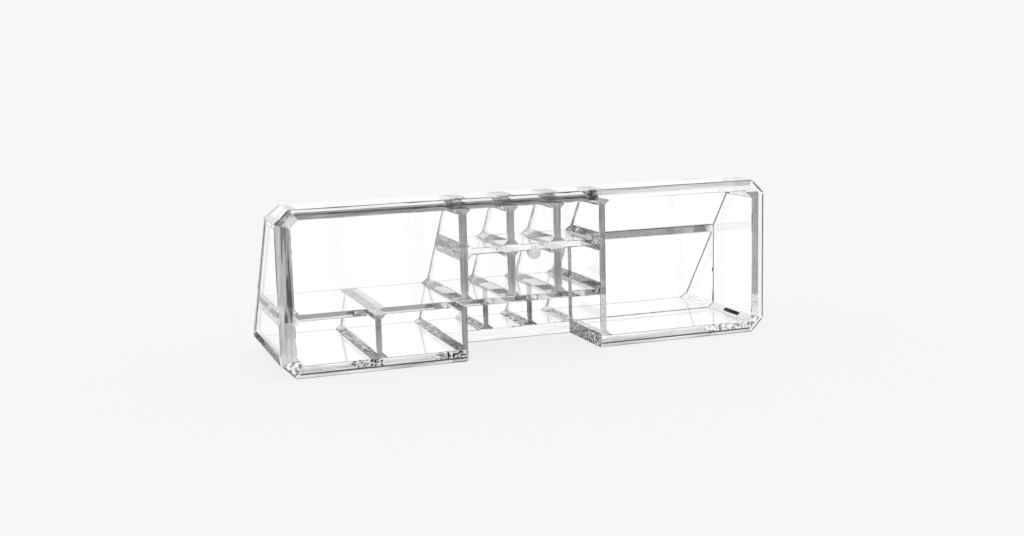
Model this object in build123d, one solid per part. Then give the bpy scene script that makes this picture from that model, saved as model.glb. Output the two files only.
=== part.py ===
from build123d import *
import math
import os

# A free-standing organizer of clear acrylic, bonded from flat sheet pieces.
# Origin: middle of the footprint, on the surface it stands on. X runs to the right, Y to the back, Z up.
# All sizes are millimetres. The front edges of the pieces lie in one upright plane.

# Overall outline, seen from the front
width = 303.8
height = 95.5
corner_leg = 8.0

# Sheet thicknesses
side_thickness = 9.0
top_thickness = 6.5
base_thickness = 7.5
corner_thickness = 8.6
wall_thickness = 4.8
lower_wall_thickness = 3.5
right_wall_thickness = 4.0
shelf_thickness = 4.0
back_thickness = 3.0
rear_panel_thickness = 4.0

# Slanted back: how far behind the front plane its inner face starts at the very top, and its lean
top_inner_depth = 23.7
back_lean = 38.0

# Outer front edge, ground to a bevel
bevel_width = 3.2
bevel_depth = 1.2

# Heights of the upper faces of the two shelves
middle_shelf_top = 36.5
upper_shelf_top = 66.5

# Distances of the upright walls from the left outer face, to the middle of each wall
left_divider_place = 56.1
left_wall_place = 107.8
right_wall_place = 194.4
grid_pitch = 29.0

# Depth of the finger recess under the middle shelf, and of the upright panel in the right bay
recess_depth = 50.0
rear_panel_place = 49.3

# Leg of the 45 degree bead where a wall or a shelf end is bonded
bead = 3.0

# Round gate boss on the front edge of the upper shelf
boss_radius = 4.0
boss_depth = 2.5
boss_drop = 5.5
dimple_radius = 0.7
dimple_depth = 0.5
ring_radius = 2.6
ring_width = 0.4
ring_depth = 0.4

# Places worked out from the sizes above
left = -width / 2
right = width / 2
slope = math.tan(math.radians(back_lean))
back_run = back_thickness / math.cos(math.radians(back_lean))
depth = top_inner_depth + height * slope + back_run
front = -depth / 2
floor_level = base_thickness
ceiling_level = height - top_thickness
left_divider_x = left + left_divider_place
left_wall_x = left + left_wall_place
right_wall_x = left + right_wall_place
column_x = [left_wall_x + grid_pitch, left_wall_x + 2 * grid_pitch]
grid_left = left_wall_x + wall_thickness / 2
grid_right = right_wall_x - right_wall_thickness / 2
right_bay_left = right_wall_x + right_wall_thickness / 2

# The lower left wall stands flush under the left face of the upper one
lower_left_wall_x = left_wall_x - (wall_thickness - lower_wall_thickness) / 2
recess_left = lower_left_wall_x + lower_wall_thickness / 2
middle_shelf_under = middle_shelf_top - shelf_thickness
upper_shelf_under = upper_shelf_top - shelf_thickness

# Sum of the distances from the two outer faces, on the inner face of a corner strip
corner_sum = corner_leg + corner_thickness * math.sqrt(2)


def upright_face(points):
    """Face in the front plane through the points (x, z)."""
    return make_face(Polyline([(x, front, z) for x, z in points], close=True))


def along_depth(face, start=0.0, end=None):
    """Prism of an upright face, from start behind the front plane to end, or past the back."""
    length = (2 * depth if end is None else end) - start
    return extrude(Pos(0, start, 0) * face, amount=length, dir=(0, 1, 0))


def back_plane_y(z, offset=0.0):
    """Y of the inner face of the back at height z, moved to the rear by offset."""
    return front + top_inner_depth + (height - z) * slope + offset


def leaning_slab(near, far):
    """Everything between two planes that lean with the back, wider and taller than the organizer."""
    low = -height
    high = 2 * height
    x = 2 * left
    corners = [
        (x, back_plane_y(low, near), low),
        (x, back_plane_y(high, near), high),
        (x, back_plane_y(high, far), high),
        (x, back_plane_y(low, far), low),
    ]
    return extrude(make_face(Polyline(corners, close=True)), amount=2 * width, dir=(1, 0, 0))


def frame_face():
    """The front outline with its four cut corners."""
    low = corner_leg
    high = height - corner_leg
    return upright_face([
        (left + corner_leg, 0), (right - corner_leg, 0), (right, low), (right, high),
        (right - corner_leg, height), (left + corner_leg, height), (left, high), (left, low),
    ])


def make_envelope():
    """The outside of the whole organizer: cut corners, and the bevel round the front."""
    block = along_depth(frame_face())
    nose = block.faces().sort_by(Axis.Y)[0]
    return chamfer(nose.edges(), length=bevel_width, length2=bevel_depth, reference=nose)


envelope = make_envelope()
before_back = leaning_slab(-4 * depth, 0.0)

# The open space under the middle shelf, in front of the bottom row
recess = Pos((recess_left + grid_right) / 2, front, middle_shelf_under) * Box(
    grid_right - recess_left,
    2 * recess_depth,
    2 * middle_shelf_under,
    align=(Align.CENTER, Align.CENTER, Align.MAX),
)


def frame_piece(points):
    """A piece of the outer frame: its front outline run back to the slanted back panel."""
    return along_depth(upright_face(points)) & envelope & before_back


def mirrored(points):
    """The same outline on the right side."""
    return [(-x, z) for x, z in points]


def side_points():
    """Left side panel between the mitres of its corner strips."""
    inner = left + side_thickness
    low = corner_sum - side_thickness
    return [(left, corner_leg), (inner, low), (inner, height - low), (left, height - corner_leg)]


def top_corner_points():
    """Facet strip between the left side panel and the top panel."""
    return [
        (left, height - corner_leg),
        (left + side_thickness, height - corner_sum + side_thickness),
        (left + corner_sum - top_thickness, ceiling_level),
        (left + corner_leg, height),
    ]


def bottom_corner_points():
    """Facet strip between the left side panel and the base."""
    return [
        (left, corner_leg),
        (left + side_thickness, corner_sum - side_thickness),
        (left + corner_sum - base_thickness, floor_level),
        (left + corner_leg, 0),
    ]


def make_top_panel():
    """Top sheet, mitred to the two upper corner strips."""
    outer = left + corner_leg
    inner = left + corner_sum - top_thickness
    return frame_piece([(outer, height), (-outer, height), (-inner, ceiling_level), (inner, ceiling_level)])


def make_base_panel():
    """Floor sheet, mitred to the two lower corner strips, with the recess cut out of its front."""
    outer = left + corner_leg
    inner = left + corner_sum - base_thickness
    sheet = frame_piece([(outer, 0), (-outer, 0), (-inner, floor_level), (inner, floor_level)])
    return sheet - recess


def make_back_panel():
    """Slanted sheet that closes the rear edges of all other pieces."""
    return envelope & leaning_slab(0.0, back_run)


def make_wall(x, thickness, low, high, start=0.0):
    """Upright wall with beads at foot and head, from start behind the front plane to the back."""
    half = thickness / 2
    wide = half + bead
    points = [
        (x - wide, low), (x + wide, low), (x + half, low + bead), (x + half, high - bead),
        (x + wide, high), (x - wide, high), (x - half, high - bead), (x - half, low + bead),
    ]
    return along_depth(upright_face(points), start) & before_back


def make_shelf(from_x, to_x, top):
    """Shelf with beads at both ends, from the front plane to the back."""
    under = top - shelf_thickness
    points = [
        (from_x, under - bead), (from_x + bead, under), (to_x - bead, under), (to_x, under - bead),
        (to_x, top + bead), (to_x - bead, top), (from_x + bead, top), (from_x, top + bead),
    ]
    return along_depth(upright_face(points)) & before_back


def make_upper_shelf():
    """Shelf of the grid's top row, with the round gate boss at the front, its two ring grooves and its dimple."""
    shelf = make_shelf(grid_left, grid_right, upper_shelf_top)
    middle = Pos((grid_left + grid_right) / 2, front, upper_shelf_top - boss_drop) * Rot(-90, 0, 0)
    disc = middle * Cylinder(boss_radius, boss_depth, align=(Align.CENTER, Align.CENTER, Align.MIN))
    shelf += disc
    shelf -= middle * Cylinder(dimple_radius, 2 * dimple_depth)
    for radius in (boss_radius, ring_radius):
        shelf -= middle * (Cylinder(radius, 2 * ring_depth) - Cylinder(radius - ring_width, 2 * ring_depth))
    return shelf


def make_right_bay_rear_panel():
    """Upright sheet at the rear of the right bay, let in over the beads and under the slanted back."""
    x1 = right - side_thickness
    points = [
        (right_bay_left + bead, floor_level),
        (right - corner_sum + base_thickness, floor_level),
        (x1, corner_sum - side_thickness),
        (x1, height),
        (right_bay_left, height),
        (right_bay_left, floor_level + bead),
    ]
    rear = rear_panel_place + rear_panel_thickness
    return along_depth(upright_face(points), rear_panel_place, rear) & before_back


def make_pieces():
    """All pieces, each under its node name."""
    under = middle_shelf_under
    left_lower = make_wall(lower_left_wall_x, lower_wall_thickness, floor_level, under)
    right_wall = make_wall(right_wall_x, right_wall_thickness, floor_level, ceiling_level)
    pieces = {
        "base_panel": make_base_panel(),
        "top_panel": make_top_panel(),
        "left_side_panel": frame_piece(side_points()),
        "right_side_panel": frame_piece(mirrored(side_points())),
        "top_left_corner_strip": frame_piece(top_corner_points()),
        "top_right_corner_strip": frame_piece(mirrored(top_corner_points())),
        "bottom_left_corner_strip": frame_piece(bottom_corner_points()),
        "bottom_right_corner_strip": frame_piece(mirrored(bottom_corner_points())),
        "back_panel": make_back_panel(),
        "middle_shelf": make_shelf(left + side_thickness, grid_right, middle_shelf_top) - recess,
        "upper_shelf": make_upper_shelf(),
        "left_bay_divider": make_wall(left_divider_x, lower_wall_thickness, floor_level, under),
        "left_center_wall_lower": left_lower - recess,
        "left_center_wall_upper": make_wall(left_wall_x, wall_thickness, middle_shelf_top, ceiling_level),
        "right_center_wall": right_wall - recess,
        "right_bay_rear_panel": make_right_bay_rear_panel(),
    }
    for side, x in zip(["left", "right"], column_x):
        top_row = make_wall(x, wall_thickness, upper_shelf_top, ceiling_level)
        middle_row = make_wall(x, wall_thickness, middle_shelf_top, upper_shelf_under)
        bottom_row = make_wall(x, lower_wall_thickness, floor_level, under, recess_depth)
        pieces[f"top_row_divider_{side}"] = top_row
        pieces[f"middle_row_divider_{side}"] = middle_row
        pieces[f"bottom_row_divider_{side}"] = bottom_row
    return pieces


os.makedirs("parts", exist_ok=True)
for name, piece in make_pieces().items():
    solids = piece.solids()
    export_step(solids[0] if len(solids) == 1 else Compound(solids), f"parts/{name}.step")
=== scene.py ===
import math

import bmesh
import bpy
from mathutils import Matrix, Vector


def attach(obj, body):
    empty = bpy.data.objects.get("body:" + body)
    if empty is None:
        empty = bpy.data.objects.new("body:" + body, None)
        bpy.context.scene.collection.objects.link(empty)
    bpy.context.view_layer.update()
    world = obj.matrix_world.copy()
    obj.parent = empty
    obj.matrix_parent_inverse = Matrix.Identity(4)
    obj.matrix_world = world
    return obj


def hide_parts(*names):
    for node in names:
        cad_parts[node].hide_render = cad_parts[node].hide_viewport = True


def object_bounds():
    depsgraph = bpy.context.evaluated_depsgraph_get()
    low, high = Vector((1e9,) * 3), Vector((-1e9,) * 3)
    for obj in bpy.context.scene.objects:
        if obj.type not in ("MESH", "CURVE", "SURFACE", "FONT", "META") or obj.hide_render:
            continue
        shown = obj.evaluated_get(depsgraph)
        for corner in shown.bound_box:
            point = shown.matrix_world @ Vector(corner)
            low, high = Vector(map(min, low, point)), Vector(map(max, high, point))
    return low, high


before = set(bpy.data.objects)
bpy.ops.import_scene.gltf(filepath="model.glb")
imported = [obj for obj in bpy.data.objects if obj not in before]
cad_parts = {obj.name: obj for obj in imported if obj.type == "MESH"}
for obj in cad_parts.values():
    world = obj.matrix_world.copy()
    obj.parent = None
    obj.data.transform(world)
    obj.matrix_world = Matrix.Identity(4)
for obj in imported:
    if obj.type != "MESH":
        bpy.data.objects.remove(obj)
cad_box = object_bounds()
front_plane = cad_box[0][1]

# Camera fitted to the photograph: metres and degrees, in the part's frame
camera_place = Vector((-0.27802, -0.78834, 0.18004))
camera_yaw = 19.6325
camera_pitch = 9.2159
camera_roll = -1.4351
camera_lens = 47.977
sensor_width = 36.0
nearest_seen = 0.01
farthest_seen = 20.0

# Corners closer than this are one corner, and what is shorter than the next has no direction
weld = 1e-7
shortest_edge = 1e-9
# Faces that meet at less than this angle are one flat face
flat_angle = math.radians(0.5)
# Two faces closer than this are bonded where they face each other (-1 is exactly)
bond_gap = 2e-6
opposed = -0.9999

# How far a face or an edge points along an axis: the part of its unit direction that lies along it. The front
# edges face the front squarely and their bevels nearly; beads, facets and the slanted back face between axes
squarely = 0.99
nearly = 0.9
mostly = 0.7
diagonally = 0.6
halfway = 0.5
partly = 0.3
slightly = 0.1

# Exposed edges of the sheets, sharper than this angle and longer than the last, are eased by this much
sharp_angle = math.radians(30)
eased_edge = 0.0004
shortest_eased = 4 * eased_edge
# Width of the cement squeezed out along a joint, the same in the right bay, and the smallest face that has it
cement_width = 0.0004
bay_cement_width = 0.0006
smallest_cemented = 1e-4
# Width of the dark outline on the bevels of the right side and of the corners, and the smallest bevel with it
outline_width = 0.0011
smallest_outlined = 2e-5
# Width of the dark band along the foot of the left side panel, next to its joint with the lower corner
foot_width = 0.005
# Joints under this height belong to the foot
foot_height = 0.02
# Width of the dark line along the rear edge of the left side panel, seen at a grazing angle
rear_line_width = 0.003
# Width of the dark line of painted shade on the front bevels of top and base, along their edge with the front
# face
bevel_shade_width = 0.0011

# Right of this is the open right bay, where the light makes the front of the top edge look light and its bevel
# dark:
# there the front is left nearly see-through, and the bevel and the lines along it get painted shade and light;
# the lines change their tone over the length given second
bay_start = 0.040
bay_fade = 0.006
# Right of this the top edge has the same painted light as the corner beside it: nearly white
pale_start = 0.121
# The front edge of the base is painted with dark and light speckle where the joints above show through it:
# under the divider of the left bay, from the foot of the left centre wall to the finger recess (the end is
# inside it), and at the right corner
divider_speckle_start = -0.112
divider_speckle_end = -0.094
wall_speckle_start = -0.056
wall_speckle_end = 0.0
corner_speckle_start = 0.113
# Edges of the base that lie further behind the front than this are inside the finger recess
recess_start = 0.001
# Under this height the front edges of the right centre wall and of the left side get painted light: they are
# paler
wall_foot = 0.0325
# Under this height the front edge of the right side gets painted light: it is paler
post_foot = 0.024
# Right of this the front edge of the right side has the same painted light as its bevel: nearly white
right_post_end = 0.1475
# The corner over the right side's front edge is dark under this height
knot_top = 0.0883
# Middle of the round gate boss on the front edge of the upper shelf (x and z), and a reach past its rim
boss_middle = (-0.0006, 0.061)
boss_reach = 0.0041
# The flaw at the foot of the right side: where it starts and ends behind the front, its height, and how far
# it lies under the upper edge of the facet
flaw_start = 0.013
flaw_end = 0.032
flaw_height = 0.0018
flaw_drop = 0.0008

# Surfaces: refraction, and the waves of the sheet, of cut edges and of ground faces (fineness and strength)
acrylic_ior = 1.49
wave_height = 0.001
wave_detail = 2.0
sheet_wave = 70.0
sheet_waviness = 0.012
edge_wave = 400.0
edge_waviness = 0.08
ground_wave = 900.0
ground_waviness = 0.3
# How much of the light goes through a ground face, and how rough a thin clear one is
ground_share = 0.35
thin_roughness = 0.25
# Fineness of the uneven tones of cut edges, ground faces and cement
grain_detail = 3.0
edge_grain = 900.0
ground_grain = 700.0
cement_grain = 500.0
# The higher this is, up to a half, the fewer tones there are between the dark and the light one
usual_rarity = 0.35
# A thin line is down to this part of its tone in places
line_contrast = 0.7
# Waves and tones are even, drawn out along Z or X into streaks, or twice as coarse
even = (1, 1, 1)
upright = (1, 1, 0.05)
level = (0.05, 1, 1)
coarse = (0.5, 0.5, 0.5)

# Light: the backdrop, and the white card that is less bright after many reflections
backdrop_level = 0.93
card_level = 1.05
undimmed_reflections = 2.0
reflection_dimming = 0.78
darkest_card = 0.38
bounces = 40
# Floor: half its side, how far it lies under the part, how much of it is plain card when seen through the
# sheets, and how much of it is even when seen directly
floor_reach = 6.0
floor_gap = 0.0001
floor_card_share = 0.95
floor_even_share = 0.88


def aim_camera():
    """The camera at the photograph's viewing angle."""
    yaw, pitch, roll = (math.radians(a) for a in (camera_yaw, camera_pitch, camera_roll))
    ahead = Vector((math.sin(yaw) * math.cos(pitch), math.cos(yaw) * math.cos(pitch), -math.sin(pitch)))
    sideways = Vector((math.cos(yaw), -math.sin(yaw), 0))
    up = sideways.cross(ahead)
    side = math.cos(roll) * sideways + math.sin(roll) * up
    top = math.cos(roll) * up - math.sin(roll) * sideways
    turn = Matrix((side, top, -ahead)).transposed().to_4x4()
    data = bpy.data.cameras.new("camera")
    data.sensor_width = sensor_width
    data.lens = camera_lens
    data.clip_start = nearest_seen
    data.clip_end = farthest_seen
    camera = bpy.data.objects.new("camera", data)
    camera.matrix_world = Matrix.Translation(camera_place) @ turn
    bpy.context.scene.collection.objects.link(camera)
    bpy.context.scene.camera = camera


def grey(tone):
    """The colour of an even tone."""
    return tone, tone, tone, 1


def new_look(name):
    """An empty material and its tree."""
    look = bpy.data.materials.new(name)
    look.use_nodes = True
    look.node_tree.nodes.clear()
    return look, look.node_tree


def put(tree, kind, **values):
    """A node of a tree, with values for its inputs by name."""
    node = tree.nodes.new(kind)
    for key, value in values.items():
        node.inputs[key.replace("_", " ")].default_value = value
    return node


def noise(tree, scale, stretch, detail):
    """Uneven pattern fixed to the piece, drawn out by the stretch."""
    place = put(tree, "ShaderNodeTexCoord")
    fit = put(tree, "ShaderNodeMapping", Scale=stretch)
    pattern = put(tree, "ShaderNodeTexNoise", Scale=scale, Detail=detail)
    tree.links.new(place.outputs["Object"], fit.inputs["Vector"])
    tree.links.new(fit.outputs["Vector"], pattern.inputs["Vector"])
    return pattern.outputs["Fac"]


def acrylic(name, scale, stretch, waviness):
    """Clear polished acrylic with a slight waviness; gives the material, its tree and its shader."""
    look, tree = new_look(name)
    out = put(tree, "ShaderNodeOutputMaterial")
    shader = put(tree, "ShaderNodeBsdfPrincipled", Base_Color=grey(1), Roughness=0.0, IOR=acrylic_ior,
                 Transmission_Weight=1.0)
    bump = put(tree, "ShaderNodeBump", Strength=waviness, Distance=wave_height)
    tree.links.new(noise(tree, scale, stretch, wave_detail), bump.inputs["Height"])
    tree.links.new(bump.outputs["Normal"], shader.inputs["Normal"])
    tree.links.new(shader.outputs[0], out.inputs["Surface"])
    return look, tree, shader


def tones(tree, scale, stretch, dark, light, rarity=usual_rarity):
    """Uneven tone from dark to light, drawn out by the stretch; the rarity is that of the tones between."""
    ramp = tree.nodes.new("ShaderNodeValToRGB")
    ramp.color_ramp.elements[0].position = rarity
    ramp.color_ramp.elements[0].color = grey(dark)
    ramp.color_ramp.elements[1].position = 1 - rarity
    ramp.color_ramp.elements[1].color = grey(light)
    tree.links.new(noise(tree, scale, stretch, grain_detail), ramp.inputs[0])
    return ramp.outputs["Color"]


def from_bay(tree, color, tone):
    """A colour that changes to an even tone over the right bay: painted light and shade along the top edge."""
    place = put(tree, "ShaderNodeTexCoord")
    parts = put(tree, "ShaderNodeSeparateXYZ")
    share = put(tree, "ShaderNodeMapRange", From_Min=bay_start, From_Max=bay_start + bay_fade)
    mix = put(tree, "ShaderNodeMixRGB", Color2=grey(tone))
    tree.links.new(place.outputs["Object"], parts.inputs[0])
    tree.links.new(parts.outputs["X"], share.inputs["Value"])
    tree.links.new(share.outputs[0], mix.inputs["Fac"])
    tree.links.new(color, mix.inputs["Color1"])
    return mix.outputs["Color"]


def clear_sheet(name):
    """Face of a sheet: clear and polished."""
    return acrylic(name, sheet_wave, even, sheet_waviness)[0]


def cut_edge(name, dark, light, stretch, rarity=usual_rarity, bay_tone=None):
    """Sawn and flame-polished edge: streaks along its length, from a dark to a light tone; on the top edge the
    tones, and the bay tone over the right bay, are painted shade and light.
    """
    look, tree, shader = acrylic(name, edge_wave, stretch, edge_waviness)
    color = tones(tree, edge_grain, stretch, dark, light, rarity)
    if bay_tone is not None:
        color = from_bay(tree, color, bay_tone)
    tree.links.new(color, shader.inputs["Base Color"])
    return look


def ground(name, dark, light, share=ground_share, stretch=even, rarity=usual_rarity):
    """Ground surface, clear only in part: mottled or streaked from a dark to a light tone; also used for the
    painted light and painted shade on some edges and facets.
    """
    look, tree, shader = acrylic(name, ground_wave, stretch, ground_waviness)
    tree.links.new(tones(tree, ground_grain, stretch, dark, light, rarity), shader.inputs["Base Color"])
    shader.inputs["Transmission Weight"].default_value = share
    return look


def thin_clear(name, alpha, roughness=thin_roughness, waviness=ground_waviness):
    """Clear acrylic that is seen straight through in part."""
    look, _, shader = acrylic(name, ground_wave, even, waviness)
    shader.inputs["Roughness"].default_value = roughness
    shader.inputs["Alpha"].default_value = alpha
    return look


def bonded(name, dark=1.0, light=1.0):
    """Bonded face inside a joint: seen straight through, mottled down to a dark tone by the cement."""
    look, tree = new_look(name)
    out = put(tree, "ShaderNodeOutputMaterial")
    clear = put(tree, "ShaderNodeBsdfTransparent", Color=grey(1))
    if dark < 1:
        tree.links.new(tones(tree, cement_grain, even, dark, light), clear.inputs["Color"])
    tree.links.new(clear.outputs[0], out.inputs["Surface"])
    return look


def line(name, tone, stretch=even, bay_tone=None):
    """Thin line on clear acrylic."""
    return cut_edge(name, line_contrast * tone, tone, stretch, bay_tone=bay_tone)


def welded(obj):
    """A node's mesh with its flat faces in one piece each."""
    bm = bmesh.new()
    bm.from_mesh(obj.data)
    bmesh.ops.remove_doubles(bm, verts=bm.verts, dist=weld)
    bmesh.ops.dissolve_limit(bm, angle_limit=flat_angle, verts=bm.verts, edges=bm.edges)
    bm.normal_update()
    return bm


def outline(face):
    """The corners of a face and its normal."""
    return [v.co.copy() for v in face.verts], face.normal.copy()


def extent(points):
    """The lowest and the highest coordinates of some points."""
    low = [min(p[i] for p in points) for i in range(3)]
    high = [max(p[i] for p in points) for i in range(3)]
    return low, high


def inside(point, corners, normal):
    """Whether a point of the plane lies inside the polygon (crossing count)."""
    axis = max(range(3), key=lambda i: abs(normal[i]))
    a, b = [i for i in range(3) if i != axis]
    x, y = point[a], point[b]
    odd = False
    for p, q in zip(corners, corners[1:] + corners[:1]):
        if (p[b] > y) != (q[b] > y):
            if x < p[a] + (y - p[b]) / (q[b] - p[b]) * (q[a] - p[a]):
                odd = not odd
    return odd


def split(bm, faces, place, normal):
    """Splits the faces along a plane."""
    geom = faces + list({e for f in faces for e in f.edges}) + list({v for f in faces for v in f.verts})
    bmesh.ops.bisect_plane(bm, geom=geom, dist=weld, plane_co=place, plane_no=normal)


def meeting(bm, corners, normal):
    """The faces of a piece that lie in the plane of a neighbour's face, within its reach and facing it."""
    plane = normal.dot(corners[0])
    low, high = extent(corners)
    found = []
    for f in bm.faces:
        if f.normal.dot(normal) > opposed or abs(f.verts[0].co.dot(normal) - plane) > bond_gap:
            continue
        near, far = extent([v.co for v in f.verts])
        if all(near[i] <= high[i] + weld and far[i] >= low[i] - weld for i in range(3)):
            found.append(f)
    return found


def cut_contacts(bm, others):
    """Splits the faces along the outlines of the neighbours' faces on them, and marks the bonded parts."""
    layer = bm.faces.layers.int.new("bonded")
    for corners, normal in others:
        if not meeting(bm, corners, normal):
            continue
        for p, q in zip(corners, corners[1:] + corners[:1]):
            across = (q - p).cross(normal)
            if across.length >= shortest_edge:
                split(bm, meeting(bm, corners, normal), p, across.normalized())
        bm.normal_update()
        for f in meeting(bm, corners, normal):
            if inside(f.calc_center_median(), corners, normal):
                f[layer] = 1
    return layer


def has_beads(name):
    """Whether a piece is a wall, a divider or a shelf; these have beads at their joints."""
    return any(word in name for word in ("wall", "divider", "shelf"))


def paint(face, kind):
    """Gives a face a look."""
    face.material_index = list(looks).index(kind)


def is_kind(face, *kinds):
    """Whether a face has one of some looks."""
    return list(looks)[face.material_index] in kinds


def edge_kind(name):
    """Which look the front edge of a piece has."""
    kinds = {
        "top_panel": "top_edge",
        "base_panel": "level_edge",
        "middle_shelf": "level_edge",
        "upper_shelf": "level_edge",
        "left_side_panel": "left_side_edge",
        "right_side_panel": "right_side_edge",
        "top_left_corner_strip": "left_bevel",
        "top_right_corner_strip": "pale_edge",
        "bottom_left_corner_strip": "corner_edge",
        "bottom_right_corner_strip": "corner_edge",
        "left_bay_divider": "low_edge",
        "left_center_wall_lower": "low_edge",
        "bottom_row_divider_left": "low_edge",
        "bottom_row_divider_right": "low_edge",
        "right_bay_rear_panel": "sheet",
        "back_panel": "sheet",
    }
    return kinds.get(name, "upright_edge")


def bevel_kind(name):
    """Which look the bevel along the front edge of a piece has."""
    kinds = {
        "top_panel": "top_bevel",
        "base_panel": "base_bevel",
        "left_side_panel": "left_bevel",
        "right_side_panel": "pale_edge",
        "top_left_corner_strip": "facet",
        "top_right_corner_strip": "pale_edge",
        "bottom_left_corner_strip": "corner_edge",
        "bottom_right_corner_strip": "pale_edge",
    }
    return kinds.get(name, "sheet")


def joint_kind(name, normal):
    """Which look a bonded face has: the cement shows at the ends of shelves and the heads of walls."""
    wall = "wall" in name or "divider" in name
    if name == "right_bay_rear_panel":
        return "light_cement"
    if name == "base_panel" and normal.z > mostly:
        return "speckle"
    if wall and normal.y > partly and name != "right_center_wall":
        return "sheet"
    if abs(normal.y) > partly or not has_beads(name):
        return "bonded"
    if abs(normal.x) > mostly:
        return "cement"
    if not wall or normal.z < 0:
        return "bonded"
    high = "upper" in name or "top" in name or name == "right_center_wall"
    return "dark_cement" if high else "light_cement"


def front_kind(name, middle):
    """Which look a part of the front edge has: some pieces change theirs along their length."""
    x, y, z = middle
    if name == "top_panel" and x > pale_start:
        return "pale_edge"
    # over the right bay the front of the top edge is left nearly see-through, standing for the light look that
    # the surroundings give it there
    if name == "top_panel" and x > bay_start:
        return "polished"
    if name == "base_panel" and y > front_plane + recess_start:
        return "level_edge"
    if name == "base_panel" and x > corner_speckle_start:
        return "corner_edge"
    under_divider = divider_speckle_start < x < divider_speckle_end
    if name == "base_panel" and (under_divider or wall_speckle_start < x < wall_speckle_end):
        return "speckled_edge"
    # painted light: the feet of the right centre wall, the left side and the right side are paler
    if name == "right_center_wall" and z < wall_foot:
        return "foot_painted_light"
    if name == "left_side_panel" and z < wall_foot:
        return "left_bevel"
    if name == "right_side_panel" and x > right_post_end:
        return "pale_edge"
    if name == "right_side_panel" and z < post_foot:
        return "foot_painted_light"
    if name == "top_right_corner_strip" and x < right_post_end and z < knot_top:
        return "low_edge"
    return edge_kind(name)


def front_cuts(name):
    """The planes that part the front of a piece where its look changes, each as a point and a normal."""
    uprights = {
        "top_panel": [bay_start, pale_start],
        "base_panel": [divider_speckle_start, divider_speckle_end, wall_speckle_start, corner_speckle_start],
        "right_side_panel": [right_post_end],
        "top_right_corner_strip": [right_post_end],
    }
    levels = {
        "right_center_wall": [wall_foot],
        "left_side_panel": [wall_foot],
        "right_side_panel": [post_foot],
        "top_right_corner_strip": [knot_top],
    }
    across = [((x, 0, 0), (1, 0, 0)) for x in uprights.get(name, [])]
    return across + [((0, 0, z), (0, 0, 1)) for z in levels.get(name, [])]


def on_boss(face):
    """Whether a face lies on the round gate boss."""
    x, z = boss_middle
    return all(math.hypot(v.co.x - x, v.co.z - z) < boss_reach for v in face.verts)


def face_kind(name, face, is_bonded):
    """Which look a face of a piece has."""
    normal = face.normal
    middle = face.calc_center_median()
    if is_bonded:
        return joint_kind(name, normal)
    if name == "upper_shelf" and on_boss(face):
        return "boss"
    if normal.y < -squarely:
        return front_kind(name, middle)
    if normal.y < -nearly:
        return "bay_bevel" if name == "top_panel" and middle.x > bay_start else bevel_kind(name)
    if has_beads(name) and min(abs(normal.x), abs(normal.z)) > diagonally:
        return "bead"
    # the downward facet of the bottom left corner gets painted shade
    if name.startswith("bottom") and name.endswith("strip") and abs(normal.z) > halfway:
        return "facet" if normal.z < 0 and "left" in name else "inner_facet"
    if name == "base_panel" and abs(normal.x) > squarely:
        return "speckled_edge"
    # the outer facet of the top left corner, which faces the light, gets painted light
    if name == "top_left_corner_strip" and normal.x < -halfway:
        return "pale_facet"
    return "sheet"


def dress_faces(name, bm, layer):
    """Gives each face of a piece its look, and joins what the cuts have split where the look is the same."""
    for place, normal in front_cuts(name):
        split(bm, [f for f in bm.faces if f.normal.y < -nearly], place, normal)
    for f in bm.faces:
        paint(f, face_kind(name, f, f[layer]))
    edges = [e for e in bm.edges if len(e.link_faces) == 2
             and e.link_faces[0].material_index == e.link_faces[1].material_index]
    bmesh.ops.dissolve_limit(bm, angle_limit=flat_angle, verts=bm.verts, edges=edges, delimit={"MATERIAL"})
    bm.normal_update()


def ease_edges(name, bm):
    """Small chamfers along the exposed sharp edges; some at the front are dark or light lines."""
    outward = {
        "top_panel": Vector((0, 0, 1)),
        "base_panel": Vector((0, 0, -1)),
        "upper_shelf": Vector((0, 0, -1)),
        "right_side_panel": Vector((1, 0, 0)),
    }
    edges = [e for e in bm.edges if e.is_manifold and e.is_convex and e.calc_face_angle() > sharp_angle
             and not any(is_kind(f, *joint_kinds) for f in e.link_faces) and e.calc_length() > shortest_eased]
    done = bmesh.ops.bevel(bm, geom=edges, offset=eased_edge, offset_type="OFFSET", segments=1,
                           affect="EDGES", clamp_overlap=True)
    bm.normal_update()
    for f in done["faces"]:
        if name in outward and f.normal.dot(outward[name]) > slightly and f.normal.y < -slightly:
            paint(f, "top_line" if name == "top_panel" else "dark_line")
        elif name == "base_panel" and abs(f.normal.x) > halfway:
            paint(f, "dark_line")


def strips(bm, faces, width):
    """Splits a strip off along each edge of faces; gives strips, their outer edges and the faces beyond."""
    made = bmesh.ops.inset_individual(bm, faces=faces, thickness=width, use_even_offset=True)["faces"]
    whole = set(faces)
    for strip in made:
        inner = [e for e in strip.edges if any(f in whole for f in e.link_faces)]
        outer = [e for e in strip.edges if inner and not set(e.verts) & set(inner[0].verts)]
        for edge in outer:
            for beyond in edge.link_faces:
                if beyond is not strip:
                    yield strip, edge, beyond


def draw_foot_band(bm):
    """The dark band along the foot of the left side panel, next to its joint with the lower corner, and the
    dark line along its rear edge.
    """
    outer = [f for f in bm.faces if f.normal.x < -squarely]
    back = []
    for strip, edge, beyond in strips(bm, outer, foot_width):
        if is_kind(beyond, *joint_kinds) and max(v.co.z for v in edge.verts) < foot_height:
            paint(strip, "foot_band")
        elif beyond.normal.y > partly:
            back.append(strip)
    for strip, _, beyond in strips(bm, back, rear_line_width):
        if beyond.normal.y > partly:
            paint(strip, "dark_line")


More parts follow.
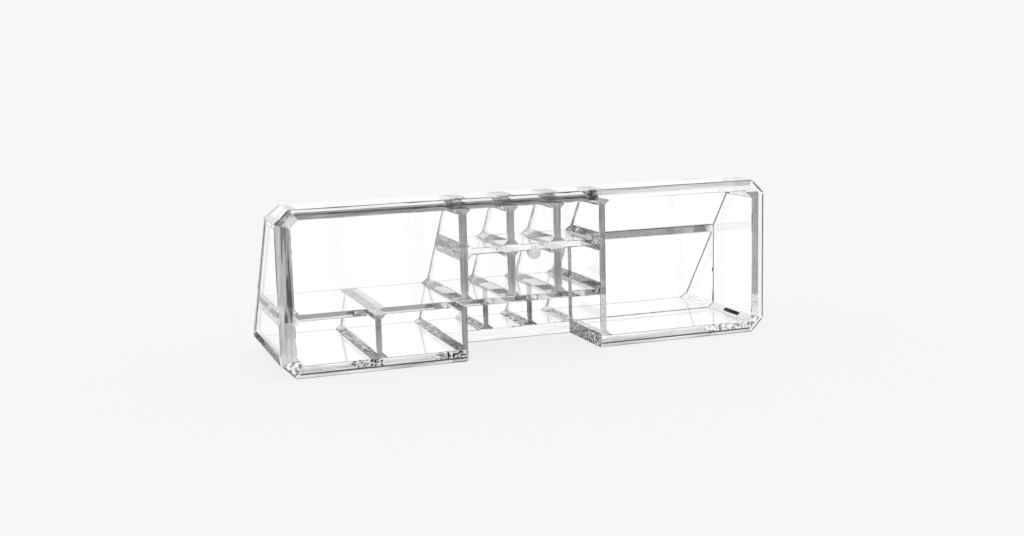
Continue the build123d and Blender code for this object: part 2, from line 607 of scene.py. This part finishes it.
def cement_kind(name, strip, edge, beyond):
    """Which line a strip of a sheet has, by the joint beyond its outer edge, if any."""
    if not is_kind(beyond, *joint_kinds) or (has_beads(name) and abs(beyond.normal.y) > partly):
        return None
    along = (edge.verts[1].co - edge.verts[0].co).normalized()
    if name == "right_side_panel" and max(abs(along.y), abs(along.z)) > nearly:
        return None
    if name == "right_bay_rear_panel" and strip.normal.y > 0:
        return None
    top_of_panel = name == "right_bay_rear_panel" and edge.verts[0].co.z > foot_height
    if abs(along.x) > nearly and not top_of_panel:
        return "faint_line"
    middle = (edge.verts[0].co + edge.verts[1].co) / 2
    to_the_right = middle.x > strip.calc_center_median().x
    return "cement_line" if to_the_right or name != "back_panel" else None


def draw_cement(name, bm):
    """Lines of squeezed-out cement along the joints, wider in the right bay."""
    large = [f for f in bm.faces if is_kind(f, "sheet") and f.calc_area() > smallest_cemented
             and not (name == "right_side_panel" and f.normal.x > halfway)]
    in_bay = [f for f in large if f.calc_center_median().x > bay_start]
    elsewhere = [f for f in large if f not in in_bay]
    for faces, width in ((elsewhere, cement_width), (in_bay, bay_cement_width)):
        for strip, edge, beyond in strips(bm, faces, width):
            kind = cement_kind(name, strip, edge, beyond)
            if kind:
                paint(strip, kind)


def draw_bevel_shade_line(name, bm):
    """Painted shade: a dark line on the front bevels of top and base, along their edge with the front face."""
    bevels = [f for f in bm.faces if is_kind(f, "top_bevel", "base_bevel")]
    for strip, _, beyond in strips(bm, bevels, bevel_shade_width):
        if beyond.normal.y < -squarely:
            paint(strip, "top_bevel_shade_line" if name == "top_panel" else "bevel_shade_line")


def draw_outline(bm):
    """The dark outline on the front bevels of the right side and of the corners."""
    bevels = [f for f in bm.faces if -squarely < f.normal.y < -nearly and f.calc_area() > smallest_outlined]
    for strip, _, beyond in strips(bm, bevels, outline_width):
        if beyond.normal.y > -nearly and not is_kind(beyond, *joint_kinds):
            paint(strip, "dark_line")


def inner_facets(bm):
    """The slanted faces inside a lower corner of the frame."""
    return [f for f in bm.faces if is_kind(f, "inner_facet") and f.normal.z > halfway]


def draw_flaw(bm):
    """The dark flaw on the inner facet at the foot of the right side."""
    near = front_plane + flaw_start
    far = front_plane + flaw_end
    high = max(v.co.z for f in inner_facets(bm) for v in f.verts) - flaw_drop
    low = high - flaw_height
    for y in (near, far):
        split(bm, inner_facets(bm), (0, y, 0), (0, 1, 0))
    for z in (low, high):
        split(bm, inner_facets(bm), (0, 0, z), (0, 0, 1))
    for f in inner_facets(bm):
        middle = f.calc_center_median()
        if near < middle.y < far and low < middle.z < high:
            paint(f, "flaw")


def draw_lines(name, bm):
    """All lines and marks on the faces of a piece, as strips of these faces."""
    if name == "left_side_panel":
        draw_foot_band(bm)
    if name != "top_panel":
        draw_cement(name, bm)
    draw_bevel_shade_line(name, bm)
    if "strip" in name or name == "right_side_panel":
        draw_outline(bm)
    if name == "bottom_right_corner_strip":
        draw_flaw(bm)


def keep_inside(bm, low, high):
    """Moves what sticks out of a box back to its side."""
    for v in bm.verts:
        v.co = [min(max(c, a), b) for c, a, b in zip(v.co, low, high)]


def dress(name, bm, others):
    """Puts the visible piece in a node's place: the same solid, bonded faces marked, exposed edges eased."""
    low, high = extent([v.co for v in bm.verts])
    layer = cut_contacts(bm, others)
    dress_faces(name, bm, layer)
    ease_edges(name, bm)
    draw_lines(name, bm)
    keep_inside(bm, low, high)
    mesh = bpy.data.meshes.new(name + "_sheet")
    bm.to_mesh(mesh)
    for look in looks.values():
        mesh.materials.append(look)
    piece = bpy.data.objects.new(name + "_sheet", mesh)
    bpy.context.scene.collection.objects.link(piece)
    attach(piece, "root")
    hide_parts(name)


# The looks by short name; a face's material number is the place of its look here
looks = {
    "sheet": clear_sheet("clear_acrylic_sheet"),
    "upright_edge": ground("clear_acrylic_upright_edge", dark=0.25, light=0.45, stretch=upright),
    "low_edge": ground("clear_acrylic_low_edge", dark=0.2, light=0.45, stretch=upright),
    "left_side_edge": ground("clear_acrylic_left_edge", dark=0.08, light=0.65, stretch=upright, rarity=0.42),
    "right_side_edge": ground("clear_acrylic_right_edge", dark=0.38, light=0.46, stretch=upright),
    "left_bevel": ground("clear_acrylic_left_bevel", dark=0.5, light=0.8, stretch=upright),
    "level_edge": cut_edge("clear_acrylic_level_edge", dark=0.7, light=1.0, stretch=level),
    # top edge: its front over the grid is tinted nearly black, painted shade; its bevel gets light painted
    # shade there and darker, partly opaque painted shade over the right bay
    "top_edge": cut_edge("clear_acrylic_top_edge", dark=0.02, light=0.15, stretch=level),
    "top_bevel": cut_edge("clear_acrylic_top_bevel", dark=0.6, light=0.9, stretch=level),
    "bay_bevel": ground("clear_acrylic_bay_bevel", dark=0.45, light=0.75, stretch=level),
    "base_bevel": cut_edge("clear_acrylic_base_bevel", dark=0.2, light=0.8, stretch=level),
    # painted light: the right corners, the right side's bevel and outer front edge, the right end of the top
    # edge and the outer facet of the top left corner are tinted white and partly opaque
    "pale_edge": ground("clear_acrylic_pale_edge", dark=1.0, light=1.0, share=0.1, stretch=upright),
    "pale_facet": ground("clear_acrylic_pale_facet", dark=0.95, light=1.0, share=0.4),
    # nearly see-through front of the top edge over the right bay, standing for the light look that the
    # surroundings give it there
    "polished": thin_clear("clear_acrylic_polished", alpha=0.12, roughness=0.0, waviness=0.0),
    "foot_band": bonded("clear_acrylic_foot_band", dark=0.2, light=0.5),
    # painted light on the feet of the right centre wall and the right side: tinted pale and partly opaque
    "foot_painted_light": ground("clear_acrylic_clear_edge", dark=0.6, light=1.0),
    "corner_edge": cut_edge("clear_acrylic_corner_edge", dark=0.05, light=1.0, stretch=coarse, rarity=0.4),
    "boss": ground("clear_acrylic_boss", dark=0.8, light=1.0, share=0.3),
    # painted dark and light speckle: on the front of the base it stands for the joints seen through the edge;
    # the ends of the base have it too
    "speckled_edge": ground("clear_acrylic_sawn", dark=0.0, light=1.0, share=0.5, rarity=0.42),
    "bead": thin_clear("clear_acrylic_bead", alpha=0.4),
    "inner_facet": thin_clear("clear_acrylic_inner_facet", alpha=0.25),
    # painted shade: dark grey, partly opaque, on the downward facet of the bottom left corner and the bevel of
    # the top left corner
    "facet": ground("clear_acrylic_facet", dark=0.1, light=0.4, share=0.4),
    "bonded": bonded("bonded_face"),
    "cement": bonded("cement_face", dark=0.5),
    "dark_cement": bonded("dark_cement_face", dark=0.2, light=0.9),
    "light_cement": bonded("light_cement_face", dark=0.75),
    "speckle": bonded("speckled_face", dark=0.0),
    "dark_line": line("clear_acrylic_outer_line", tone=0.04),
    # painted shade: the dark line along the edge of the front bevels of base and top
    "bevel_shade_line": line("clear_acrylic_ground_line", tone=0.01),
    # along the top edge: the eased line is white over the grid and dark over the right bay, and the line on
    # its bevel is dark; painted light and shade
    "top_line": line("clear_acrylic_top_line", tone=1.0, stretch=level, bay_tone=0.2),
    "top_bevel_shade_line": line("clear_acrylic_top_ground_line", tone=0.1, stretch=level, bay_tone=1.0),
    "cement_line": line("clear_acrylic_cement_line", tone=0.05),
    "faint_line": line("clear_acrylic_faint_line", tone=0.6),
    "flaw": bonded("clear_acrylic_flaw", dark=0.0, light=0.1),
}
# The looks of bonded faces
joint_kinds = ("bonded", "cement", "light_cement", "dark_cement", "speckle")
# Each node's own mesh, welded, and the outlines of its faces as its neighbours meet them
forms = {name: welded(obj) for name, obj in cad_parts.items()}
outlines = {name: [outline(f) for f in bm.faces] for name, bm in forms.items()}
for name, bm in forms.items():
    others = [o for other, faces in outlines.items() if other != name for o in faces]
    dress(name, bm, others)


def calculated(tree, operation, first, second):
    """A number worked out from two others, each of them a plain value or what another node gives."""
    node = put(tree, "ShaderNodeMath")
    node.operation = operation
    for socket, value in zip(node.inputs, (first, second)):
        if isinstance(value, float):
            socket.default_value = value
        else:
            tree.links.new(value, socket)
    return node.outputs[0]


def mixed(tree, share, first, second):
    """Two shaders mixed, the share being that of the second."""
    node = put(tree, "ShaderNodeMixShader")
    for socket, output in zip(node.inputs, (share, first, second)):
        tree.links.new(output, socket)
    return node.outputs[0]


def dimmed(tree, path):
    """The white card, less bright for each reflection inside the sheets after the first few."""
    late = calculated(tree, "SUBTRACT", path.outputs["Glossy Depth"], undimmed_reflections)
    count = calculated(tree, "MAXIMUM", late, 0.0)
    share = calculated(tree, "POWER", reflection_dimming, count)
    least = calculated(tree, "MAXIMUM", share, darkest_card)
    return calculated(tree, "MULTIPLY", least, card_level)


def studio():
    """Plain soft light from all round: a pale backdrop seen directly, a white card seen through the sheets."""
    world = bpy.data.worlds.new("studio")
    bpy.context.scene.world = world
    world.use_nodes = True
    tree = world.node_tree
    tree.nodes.clear()
    out = put(tree, "ShaderNodeOutputWorld")
    backdrop = put(tree, "ShaderNodeBackground", Color=grey(backdrop_level))
    soft = put(tree, "ShaderNodeBackground", Color=grey(1))
    card = put(tree, "ShaderNodeBackground")
    path = put(tree, "ShaderNodeLightPath")
    tree.links.new(dimmed(tree, path), card.inputs["Color"])
    sharp = calculated(tree, "MAXIMUM", path.outputs["Is Glossy Ray"], path.outputs["Is Transmission Ray"])
    around = mixed(tree, sharp, soft.outputs[0], card.outputs[0])
    seen = mixed(tree, path.outputs["Is Camera Ray"], around, backdrop.outputs[0])
    tree.links.new(seen, out.inputs["Surface"])


def floor():
    """Plain pale floor that keeps the shadow, and is the white card where it is seen through the sheets."""
    r = floor_reach
    mesh = bpy.data.meshes.new("floor")
    mesh.from_pydata([(-r, -r, 0), (r, -r, 0), (r, r, 0), (-r, r, 0)], [], [(0, 1, 2, 3)])
    piece = bpy.data.objects.new("floor", mesh)
    piece.location = (0, 0, -floor_gap)
    bpy.context.scene.collection.objects.link(piece)
    look, tree = new_look("floor_look")
    out = put(tree, "ShaderNodeOutputMaterial")
    plain = put(tree, "ShaderNodeBsdfDiffuse", Color=grey(backdrop_level))
    flat = put(tree, "ShaderNodeEmission", Color=grey(backdrop_level))
    card = put(tree, "ShaderNodeEmission")
    path = put(tree, "ShaderNodeLightPath")
    tree.links.new(dimmed(tree, path), card.inputs["Color"])
    card_share = calculated(tree, "MULTIPLY", path.outputs["Is Transmission Ray"], floor_card_share)
    even_share = calculated(tree, "MULTIPLY", path.outputs["Is Camera Ray"], floor_even_share)
    direct = mixed(tree, even_share, plain.outputs[0], flat.outputs[0])
    tree.links.new(mixed(tree, card_share, direct, card.outputs[0]), out.inputs["Surface"])
    mesh.materials.append(look)


studio()
floor()
aim_camera()
scene = bpy.context.scene
scene.view_settings.view_transform = "Standard"
scene.cycles.max_bounces = bounces
scene.cycles.transmission_bounces = bounces
scene.cycles.glossy_bounces = bounces
scene.cycles.transparent_max_bounces = bounces
